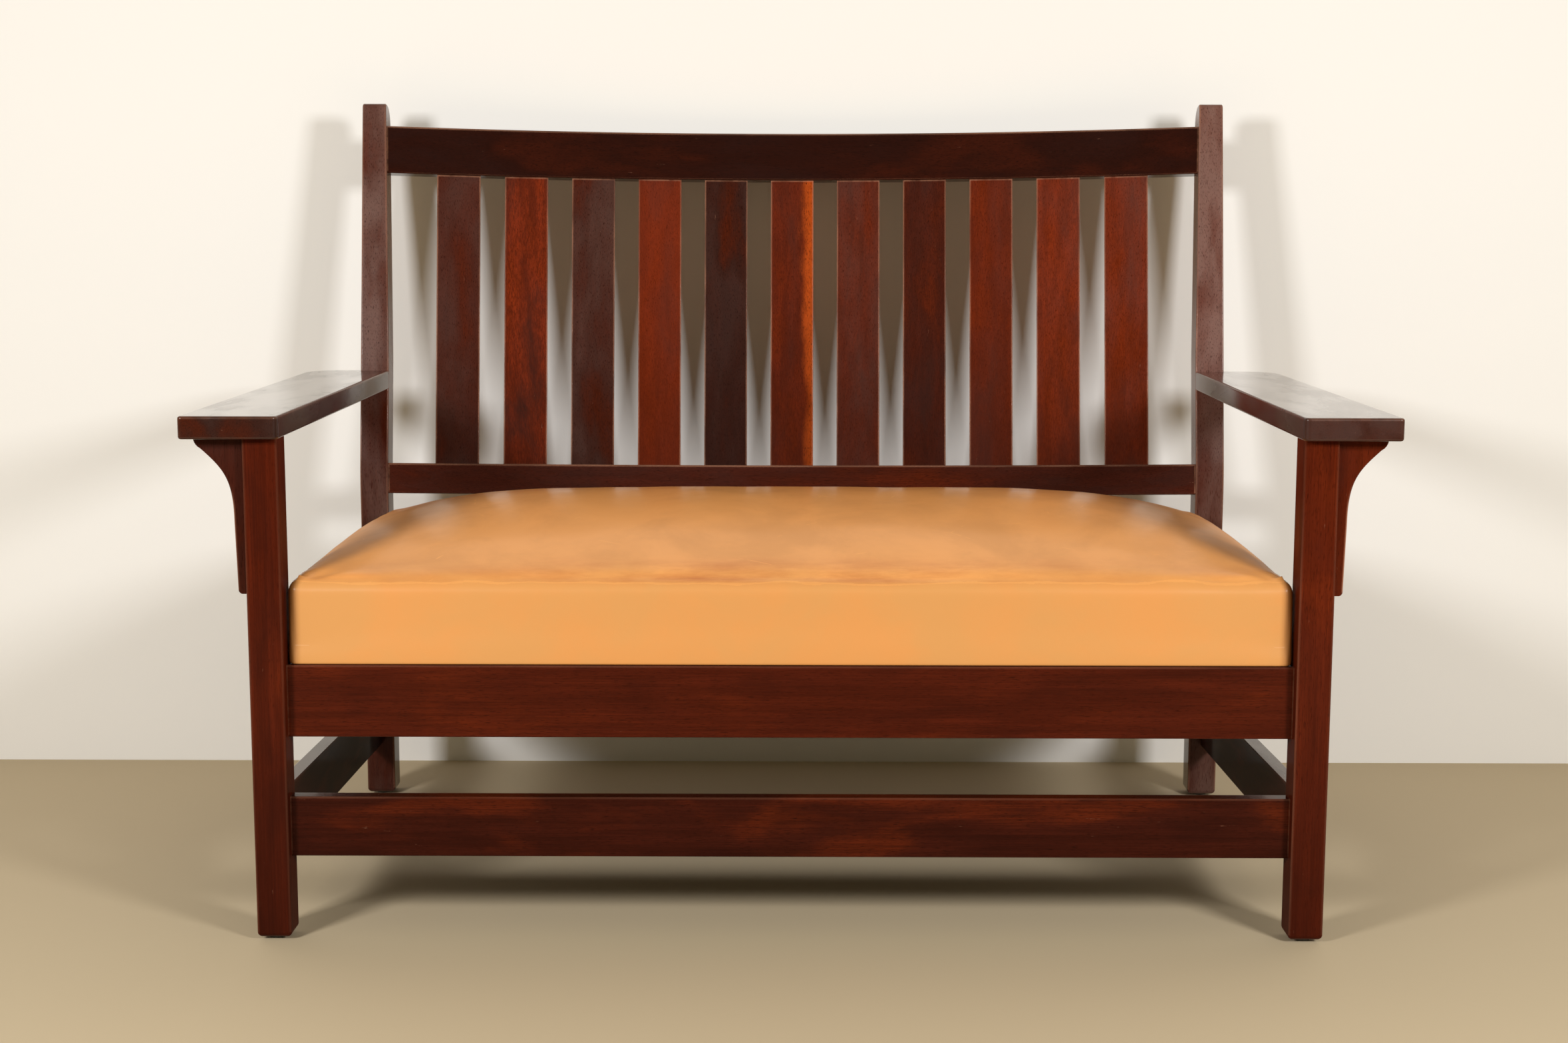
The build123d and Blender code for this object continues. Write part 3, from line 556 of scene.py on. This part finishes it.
def seat_block(leather):
    """The seat as a box with rounded corners and edges."""
    low, high = SEAT_LOW, Vector((SEAT_HIGH.x, SEAT_HIGH.y, SEAT_LOW.z + leather.side_height))
    size = high - low
    mesh = bmesh.new()
    bmesh.ops.create_cube(mesh, size=1.0)
    bmesh.ops.scale(mesh, vec=size, verts=mesh.verts)
    bmesh.ops.translate(mesh, vec=(low + high) / 2, verts=mesh.verts)
    corners = [e for e in mesh.edges if abs(e.verts[0].co.z - e.verts[1].co.z) > size.z / 2]
    round_off(mesh, corners, leather.corner_radius, 5)
    for level, radius, steps in ((high.z, leather.edge_radius, 6), (low.z, leather.hem_radius, 3)):
        ring = [e for e in mesh.edges if all(abs(v.co.z - level) < MM / 10 for v in e.verts)]
        round_off(mesh, ring, radius, steps)
    return mesh, low, high


def faces_down(face):
    """Whether a face is part of a flat underside."""
    return face.normal.z < -0.99


def open_underside(mesh, skin, rebate):
    """Turns the skin under as a hem and hollows the seat for its frame and webbing."""
    inner = SEAT_HALF - Vector((HEM, HEM, 0))
    for axis in (0, 1):
        for side in (-1.0, 1.0):
            normal = Vector([side if i == axis else 0.0 for i in range(3)])
            mesh.normal_update()
            under = [f for f in mesh.faces if faces_down(f)]
            around = list({e for f in under for e in f.edges}) + list({v for f in under for v in f.verts})
            plane = SEAT_MIDDLE + normal * inner[axis]
            bmesh.ops.bisect_plane(mesh, geom=under + around, plane_co=plane, plane_no=normal)
    mesh.normal_update()
    under = []
    for face in mesh.faces:
        offset = face.calc_center_median() - SEAT_MIDDLE
        if faces_down(face) and abs(offset.x) < inner.x and abs(offset.y) < inner.y:
            under.append(face)
    for lift, spread in ((skin, 0.0), (0.0, HEM - WALL_OVER_HEM), (rebate, 0.0)):
        grown = bmesh.ops.extrude_face_region(mesh, geom=under)
        bmesh.ops.delete(mesh, geom=under, context="FACES")
        under = [g for g in grown["geom"] if isinstance(g, bmesh.types.BMFace)]
        points = list({v for f in under for v in f.verts})
        bmesh.ops.translate(mesh, vec=(0, 0, lift), verts=points)
        reach = [max(abs(v.co[i] - SEAT_MIDDLE[i]) for v in points) for i in range(2)]
        factor = Vector(((reach[0] + spread) / reach[0], (reach[1] + spread) / reach[1], 1.0))
        bmesh.ops.scale(mesh, vec=factor, verts=points, space=Matrix.Translation(-SEAT_MIDDLE))
    corners = []
    for edge in mesh.edges:
        side = edge.verts[1].co - edge.verts[0].co
        if abs(abs(side.z) - rebate) < MM / 10 and side.xy.length < MM / 10:
            corners.append(edge)
    round_off(mesh, corners, HOLLOW_CORNER, 3)


def cut_grid(mesh, low, high, step_size):
    """Cuts the seat along even planes, so that it has a grid to stretch and to crown."""
    size = high - low
    for axis in range(3):
        steps = max(2, round(size[axis] / step_size))
        normal = Vector([1.0 if i == axis else 0.0 for i in range(3)])
        for step in range(1, steps):
            bmesh.ops.bisect_plane(
                mesh,
                geom=mesh.verts[:] + mesh.edges[:] + mesh.faces[:],
                plane_co=low + normal * size[axis] * step / steps,
                plane_no=normal,
                dist=MM / 20,
            )


def raise_crown(mesh, leather, low, high):
    """Lifts the top into its crown, an arc from front to back, and fills the ends out towards the legs.

    The two rear corners, which hold the least stuffing, stay lower.
    """
    half = (high.x - low.x) / 2
    middle = (low + high) / 2
    reach = (high.y - low.y) / 2 - leather.edge_radius
    start = high.z - leather.side_height / 2
    for vertex in mesh.verts:
        across = min(1.0, abs(vertex.co.x - middle.x) / half)
        swell = (1 - across**leather.crown_power) ** leather.crown_shoulder
        crown = leather.side_crown + (leather.crown - leather.side_crown) * swell
        arc = max(0.0, 1 - ((vertex.co.y - middle.y) / reach) ** 2)
        lift = min(1.0, max(0.0, (vertex.co.z - start) / (high.z - start)))
        end = min(1.0, max(0.0, (abs(vertex.co.x - middle.x) - half * 0.5) / (half * 0.5)))
        behind = max(0.0, (vertex.co.y - middle.y) / (high.y - middle.y))
        vertex.co.z += (crown * arc - leather.corner_drop * behind**2 * across**8) * lift
        vertex.co.x += math.copysign(leather.end_bulge * end, vertex.co.x - middle.x)


def tacked_down(piece):
    """The points of the cover that its tacks hold still."""
    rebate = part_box("webbing_cross")[1].z + MM
    inner = SEAT_HALF - Vector((TACKED_WALL, TACKED_WALL, 0))
    points = []
    for vertex in piece.data.vertices:
        offset = vertex.co - SEAT_MIDDLE
        inside = abs(offset.x) < inner.x and abs(offset.y) < inner.y and vertex.co.z < rebate
        if inside or vertex.co.z < SEAT_LOW.z + TACKED_BAND:
            points.append(vertex.index)
    return points


def pull_taut(piece, leather):
    """Lets the cover swell against its stuffing as cloth, with its underside held, and keeps the result."""
    held = piece.vertex_groups.new(name="Held")
    held.add(tacked_down(piece), 1.0, "REPLACE")
    before = [v.co.copy() for v in piece.data.vertices]
    cloth = piece.modifiers.new("Swell", "CLOTH")
    settings = cloth.settings
    settings.quality = 5
    settings.mass = 0.5
    settings.tension_stiffness = 60
    settings.compression_stiffness = 60
    settings.shear_stiffness = 20
    settings.bending_stiffness = 5
    settings.use_pressure = True
    settings.uniform_pressure_force = leather.pressure
    settings.vertex_group_mass = held.name
    settings.effector_weights.gravity = 0
    cloth.collision_settings.use_collision = False
    for step in range(1, CLOTH_FRAMES + 1):
        bpy.context.scene.frame_set(step)
    graph = bpy.context.evaluated_depsgraph_get()
    swollen = piece.evaluated_get(graph).to_mesh()
    limits = (leather.swell * 0.2, leather.swell, leather.swell)
    after = []
    for start, vertex in zip(before, swollen.vertices):
        move = [limit * math.tanh(m / limit) for m, limit in zip(vertex.co - start, limits)]
        after.append(start + Vector(move))
    piece.evaluated_get(graph).to_mesh_clear()
    piece.modifiers.remove(cloth)
    for vertex, place in zip(piece.data.vertices, after):
        vertex.co = place
    bpy.context.scene.frame_set(1)


def stuff_unevenly(piece, low):
    """Gives the stretched hide the small unevenness of hand stuffing."""
    mesh = bmesh.new()
    mesh.from_mesh(piece.data)
    for vertex in mesh.verts:
        if vertex.co.z < low.z + EVEN_BAND:
            continue
        # Waves some 140 mm across and up to 1.6 mm deep, and others 50 mm across and up to 0.6 mm deep
        depth = noise.noise(vertex.co * 7.0) * 1.6 + noise.noise(vertex.co * 19.0) * 0.6
        rise = min(1.0, (vertex.co.z - low.z - EVEN_BAND) / EVEN_RISE)
        vertex.co += Vector((0, vertex.normal.y, vertex.normal.z)) * depth * rise * MM
    mesh.to_mesh(piece.data)
    mesh.free()


# Settings

COLOUR = {"subtype": "COLOR", "min": 0.0, "max": 1.0}


class SettleWood(bpy.types.PropertyGroup):
    """Colours and polish of the mahogany."""

    dark_stain: FloatVectorProperty(
        name="Dark stain", description="Colour of the darkest boards", default=linear("#2B100A"), **COLOUR
    )
    red_stain: FloatVectorProperty(
        name="Red stain", description="Colour of the reddest boards", default=linear("#822C0E"), **COLOUR
    )
    flame: FloatVectorProperty(
        name="Flame",
        description="Colour of the glow in the liveliest boards",
        default=linear("#9A3A12"),
        **COLOUR,
    )
    sapwood: FloatVectorProperty(
        name="Sapwood",
        description="Colour of the pale streak in one slat",
        default=linear("#B24A12"),
        **COLOUR,
    )
    bloom: FloatVectorProperty(
        name="Bloom", description="Colour of the haze in bloomed polish", default=linear("#A8867A"), **COLOUR
    )
    # The pale colour of worn arrises and handling marks, also painted on the arrises as a glint of light
    worn_edge_and_glint: FloatVectorProperty(
        name="Worn edge",
        description="Colour of the arrises that hands have rubbed",
        default=linear("#B98468"),
        **COLOUR,
    )
    # How far the arrises are worn, which also sets how strong their painted glint is
    edge_wear_and_glint: FloatProperty(
        name="Edge wear", description="How far the arrises are worn", min=0.0, max=1.0, default=0.8
    )
    patina: FloatProperty(
        name="Patina", description="How dark the old polish is in its clouds", min=0.0, max=1.0, default=0.85
    )
    roughness: FloatProperty(
        name="Polish roughness",
        description="How dull the polish is under its top film",
        min=0.05,
        max=0.8,
        default=0.22,
    )


class SettleLeather(bpy.types.PropertyGroup):
    """Sizes and colours of the leather seat."""

    tan: FloatVectorProperty(
        name="Tan", description="Colour of the hide", default=linear("#E8A05A"), **COLOUR
    )
    # A darker, yellower tan for the front face; its darkness is painted shade on the front face
    facing: FloatVectorProperty(
        name="Facing",
        description="Colour of the hide on its front face",
        default=linear("#D39758"),
        **COLOUR,
    )
    # The colour of rubbed hide, also used for painted shade on the back of the top and at both ends
    scuff_and_shade: FloatVectorProperty(
        name="Scuff", description="Colour of the hide where it is rubbed", default=linear("#B9672F"), **COLOUR
    )
    side_height: FloatProperty(
        name="Side height",
        description="Height of the sides up to the crease",
        unit="LENGTH",
        min=0.02,
        max=0.3,
        default=104 * MM,
    )
    crown: FloatProperty(
        name="Crown",
        description="How far the top swells above the crease",
        unit="LENGTH",
        min=0.0,
        max=0.2,
        default=60 * MM,
    )
    side_crown: FloatProperty(
        name="End crown",
        description="How far the two ends swell above the crease",
        unit="LENGTH",
        min=0.0,
        max=0.1,
        default=4 * MM,
    )
    corner_drop: FloatProperty(
        name="Corner drop",
        description="How much lower the two rear corners lie",
        unit="LENGTH",
        min=0.0,
        max=0.04,
        default=10 * MM,
    )
    crown_power: FloatProperty(
        name="Crown fullness",
        description="How far the crown stays full towards the ends",
        min=1.0,
        max=8.0,
        default=6.0,
    )
    crown_shoulder: FloatProperty(
        name="Crown shoulder",
        description="How gently the crown falls at the ends",
        min=0.3,
        max=2.0,
        default=1.4,
    )
    corner_radius: FloatProperty(
        name="Corner radius",
        description="Radius of the upright corners",
        unit="LENGTH",
        min=0.002,
        max=0.06,
        default=10 * MM,
    )
    edge_radius: FloatProperty(
        name="Edge radius",
        description="Radius of the crease round the top",
        unit="LENGTH",
        min=0.002,
        max=0.06,
        default=17 * MM,
    )
    hem_radius: FloatProperty(
        name="Hem radius",
        description="Radius where the hide turns under",
        unit="LENGTH",
        min=0.001,
        max=0.02,
        default=3 * MM,
    )
    grid: FloatProperty(
        name="Grid",
        description="Size of one face of the seat's mesh",
        unit="LENGTH",
        min=0.004,
        max=0.05,
        default=12 * MM,
    )
    pressure: FloatProperty(
        name="Stuffing pressure", description="How hard the stuffing pushes", min=0.0, max=20.0, default=3.0
    )
    swell: FloatProperty(
        name="Swell limit",
        description="The most that the stuffing moves the hide",
        unit="LENGTH",
        min=0.001,
        max=0.03,
        default=3 * MM,
    )
    end_bulge: FloatProperty(
        name="End bulge",
        description="How far both ends stand out above the rails",
        unit="LENGTH",
        min=0.0,
        max=0.01,
        default=8.6 * MM,
    )


class SettleStage(bpy.types.PropertyGroup):
    """Light and colours of the plain studio."""

    floor: FloatVectorProperty(
        name="Floor", description="Colour of the floor", default=linear("#C4B293"), **COLOUR
    )
    wall: FloatVectorProperty(
        name="Wall", description="Colour of the wall", default=linear("#FAF8F5"), **COLOUR
    )
    air: FloatVectorProperty(
        name="Room colour",
        description="Colour of the light from all around",
        default=linear("#FFEFC4"),
        **COLOUR,
    )
    lamps: FloatProperty(
        name="Lamps",
        description="Power of the two soft lamps together",
        unit="POWER",
        min=0.0,
        max=1000.0,
        default=99.0,
    )
    sky: FloatProperty(
        name="Room light", description="Strength of the light from all around", min=0.0, max=4.0, default=0.24
    )
    lens: FloatProperty(
        name="Lens",
        description="Focal length of the camera on a sensor 36 mm wide",
        subtype="DISTANCE_CAMERA",
        min=20.0,
        max=200.0,
        default=51.52,
    )


# Steps


class SETTLE_OT_polish_frame(bpy.types.Operator):
    """Finish the legs, posts, rails, arms, corbels and slats in french polished mahogany"""

    bl_idname = "settle.polish_frame"
    bl_label = "Polish the frame"

    def execute(self, context):
        wood = context.scene.settle_wood
        for seed, (node, board) in enumerate(BOARDS.items(), start=1):
            # The heights at which the board is darkest and at which the darkening ends
            darker_low = None
            if node.startswith("rear_post"):
                # Painted shade under the arm darkens the rear post below it
                darker_low = (ARM_UNDERSIDE - 100 * MM, ARM_UNDERSIDE + 50 * MM)
            elif node.startswith("front_leg"):
                # Grime and old wax darken the feet of the front legs
                darker_low = (0.0, ARM_UNDERSIDE * 0.6)
            # The way along X in which a board looks into the settle
            inward = 0
            if node.startswith(("front_leg", "side")):
                inward = 1 if node.endswith("left") else -1
            film_ior = FILM_IOR.get(node.split("_")[0], USUAL_FILM_IOR)
            # How much arris wear and painted glint this board carries
            rub = FRONT_AND_SIDE_WEAR_AND_GLINT if node.startswith(("front", "side")) else 1.0
            material = french_polished_mahogany(node, wood, board, seed, film_ior, rub, darker_low, None, inward)
            finish_nodes([node], material)
        for seed, look in enumerate(SLATS, start=FIRST_SLAT_SEED):
            number = seed - FIRST_SLAT_SEED + 1
            node = f"back_slat_{number:02d}"
            low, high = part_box(node)
            board = ("Z", *look)
            # The slats are darker towards the bottom
            darker_low = (low.z, low.z + (high.z - low.z) * 0.7)
            streak = None
            if number == SAPWOOD_SLAT:
                # The noise adds some 30 mm, so the border runs about 15 mm inside the right edge
                streak = (high.x + 7 * MM, high.x + 22 * MM)
            material = french_polished_mahogany(
                node, wood, board, seed, USUAL_FILM_IOR, SLAT_WEAR_AND_GLINT, darker_low, streak
            )
            finish_nodes([node], material)
        return {"FINISHED"}


class SETTLE_OT_upholster_seat(bpy.types.Operator):
    """Build the crowned leather seat over its frame"""

    bl_idname = "settle.upholster_seat"
    bl_label = "Upholster the seat"

    def execute(self, context):
        leather = context.scene.settle_leather
        mesh, low, high = seat_block(leather)
        frame_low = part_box("seat_frame_left")[0].z
        webbing_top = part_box("webbing_cross")[1].z
        open_underside(mesh, frame_low - low.z, webbing_top - frame_low)
        cut_grid(mesh, low, high, leather.grid)
        raise_crown(mesh, leather, low, high)
        bmesh.ops.recalc_face_normals(mesh, faces=mesh.faces)
        piece = place_piece(mesh, "leather_seat", saddle_leather(leather))
        pull_taut(piece, leather)
        stuff_unevenly(piece, low)
        for face in piece.data.polygons:
            face.use_smooth = True
        rounding = piece.modifiers.new("Rounding", "SUBSURF")
        rounding.levels = 1
        rounding.render_levels = 1
        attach(piece, "seat")
        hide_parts("seat_cover", "seat_padding")
        return {"FINISHED"}


class SETTLE_OT_finish_underside(bpy.types.Operator):
    """Finish the hidden boards, the webbing, the dust cover, the screws and the glides"""

    bl_idname = "settle.finish_underside"
    bl_label = "Finish the underside"

    def execute(self, context):
        finish_nodes(PLAIN_BOARDS, raw_poplar(linear("#A98558")))
        # Ribs 12.6 mm apart
        jute = woven_cloth("Woven jute webbing", linear("#9C8258"), 25.0, 0.85)
        finish_nodes(("webbing_long", "webbing_cross"), jute)
        # Ribs 9.4 mm apart
        cambric = woven_cloth("Black cambric", linear("#1B1A1A"), 100 / 3, 0.9)
        finish_nodes(("dust_cover",), cambric)
        finish_nodes(("cleat_screws", "corner_block_screws"), bright_steel(linear("#8E8B86")))
        glides = [f"glide_{end}_{side}" for end in ("front", "rear") for side in ("left", "right")]
        finish_nodes(glides, moulded_nylon(linear("#120D0A"), linear("#2E2620")))
        return {"FINISHED"}


def plain_surface(name, colour, see_through):
    """A matt painted surface of the stage, which a view from behind looks through if asked."""
    material, tree = new_material(name)
    shader = add(tree, "ShaderNodeBsdfPrincipled", {"Base Color": opaque(colour), "Roughness": 0.85})
    surface = shader.outputs[0]
    if see_through:
        behind = add(tree, "ShaderNodeNewGeometry").outputs["Backfacing"]
        clear = add(tree, "ShaderNodeBsdfTransparent").outputs[0]
        surface = add(tree, "ShaderNodeMixShader", {0: behind, 1: surface, 2: clear}).outputs[0]
    add(tree, "ShaderNodeOutputMaterial", {"Surface": surface})
    return material


def stage_sheet(name, width, height, place, material):
    """A flat rectangle of the stage, made in place."""
    mesh = bmesh.new()
    bmesh.ops.create_grid(mesh, x_segments=1, y_segments=1, size=0.5)
    bmesh.ops.scale(mesh, vec=(width, height, 1.0), verts=mesh.verts)
    bmesh.ops.transform(mesh, matrix=place, verts=mesh.verts)
    sheet = place_piece(mesh, name, material)


def room_light(colour, strength):
    """A world that lights the scene evenly from all around."""
    world = bpy.data.worlds.new("Room")
    world.use_nodes = True
    tree = world.node_tree
    tree.nodes.clear()
    light = add(tree, "ShaderNodeBackground", {"Color": opaque(colour), "Strength": strength})
    output = add(tree, "ShaderNodeOutputWorld", {"Surface": light.outputs[0]})
    output.is_active_output = True
    return world


def soft_lamp(name, power, place):
    """A square soft lamp that looks at the settle."""
    data = bpy.data.lights.new(name, "AREA")
    data.energy = power
    data.size = LAMP_WIDTH
    lamp = bpy.data.objects.new(name, data)
    lamp.location = place
    lamp.rotation_euler = (Vector(LAMP_AIM) - Vector(place)).to_track_quat("-Z", "Y").to_euler()
    bpy.context.scene.collection.objects.link(lamp)


def place_camera(lens):
    """The camera, where the photographer's stood."""
    data = bpy.data.cameras.new("camera")
    data.lens = lens
    data.sensor_width = SENSOR_WIDTH
    camera = bpy.data.objects.new("camera", data)
    turn = Matrix.Rotation(math.radians(CAMERA_TURN), 4, "Z")
    tilt = Matrix.Rotation(math.radians(90 - CAMERA_TILT), 4, "X")
    roll = Matrix.Rotation(math.radians(CAMERA_ROLL), 4, "Z")
    camera.matrix_world = Matrix.Translation(CAMERA_PLACE) @ turn @ tilt @ roll
    bpy.context.scene.collection.objects.link(camera)
    return camera


class SETTLE_OT_set_stage(bpy.types.Operator):
    """Lay a plain floor and wall, hang the soft lamps and place the camera"""

    bl_idname = "settle.set_stage"
    bl_label = "Set the stage"

    def execute(self, context):
        scene = context.scene
        stage = scene.settle_stage
        floor = plain_surface("Painted floor", stage.floor, False)
        wall = plain_surface("Painted wall", stage.wall, True)
        stage_sheet("floor", FLOOR_WIDTH, FLOOR_WIDTH, Matrix.Identity(4), floor)
        wall_middle = Matrix.Translation((0, CAD_BOX[1][1] + WALL_GAP, WALL_HEIGHT / 2))
        upright = wall_middle @ Matrix.Rotation(math.radians(90), 4, "X")
        stage_sheet("wall", FLOOR_WIDTH, WALL_HEIGHT, upright, wall)
        scene.world = room_light(stage.air, stage.sky)
        across, back, up = LAMP_PLACE
        soft_lamp("lamp_left", stage.lamps / 2, (-across, back, up))
        soft_lamp("lamp_right", stage.lamps / 2, (across, back, up))
        scene.camera = place_camera(stage.lens)
        scene.view_settings.view_transform = "Standard"
        return {"FINISHED"}


class SETTLE_PT_sidebar(bpy.types.Panel):
    """The settle's steps and their settings"""

    bl_idname = "SETTLE_PT_sidebar"
    bl_label = "Mission Settle"
    bl_space_type = "VIEW_3D"
    bl_region_type = "UI"
    bl_category = "Settle"

    def draw(self, context):
        layout = self.layout
        scene = context.scene
        for group, step in STEPS:
            box = layout.box()
            if group:
                settings = getattr(scene, group)
                for name in settings.bl_rna.properties.keys():
                    if name not in {"rna_type", "name"}:
                        box.prop(settings, name)
            box.operator(step.bl_idname)


GROUPS = {"settle_wood": SettleWood, "settle_leather": SettleLeather, "settle_stage": SettleStage}
STEPS = (
    ("settle_wood", SETTLE_OT_polish_frame),
    ("settle_leather", SETTLE_OT_upholster_seat),
    (None, SETTLE_OT_finish_underside),
    ("settle_stage", SETTLE_OT_set_stage),
)


def register():
    for name, group in GROUPS.items():
        bpy.utils.register_class(group)
        setattr(bpy.types.Scene, name, PointerProperty(type=group))
    for _, step in STEPS:
        bpy.utils.register_class(step)
    bpy.utils.register_class(SETTLE_PT_sidebar)


def unregister():
    bpy.utils.unregister_class(SETTLE_PT_sidebar)
    for _, step in reversed(STEPS):
        bpy.utils.unregister_class(step)
    for name, group in reversed(GROUPS.items()):
        delattr(bpy.types.Scene, name)
        bpy.utils.unregister_class(group)


def main():
    """Dresses the settle."""
    register()
    bpy.ops.settle.polish_frame()
    bpy.ops.settle.upholster_seat()
    bpy.ops.settle.finish_underside()
    bpy.ops.settle.set_stage()


if __name__ == "__main__":
    main()
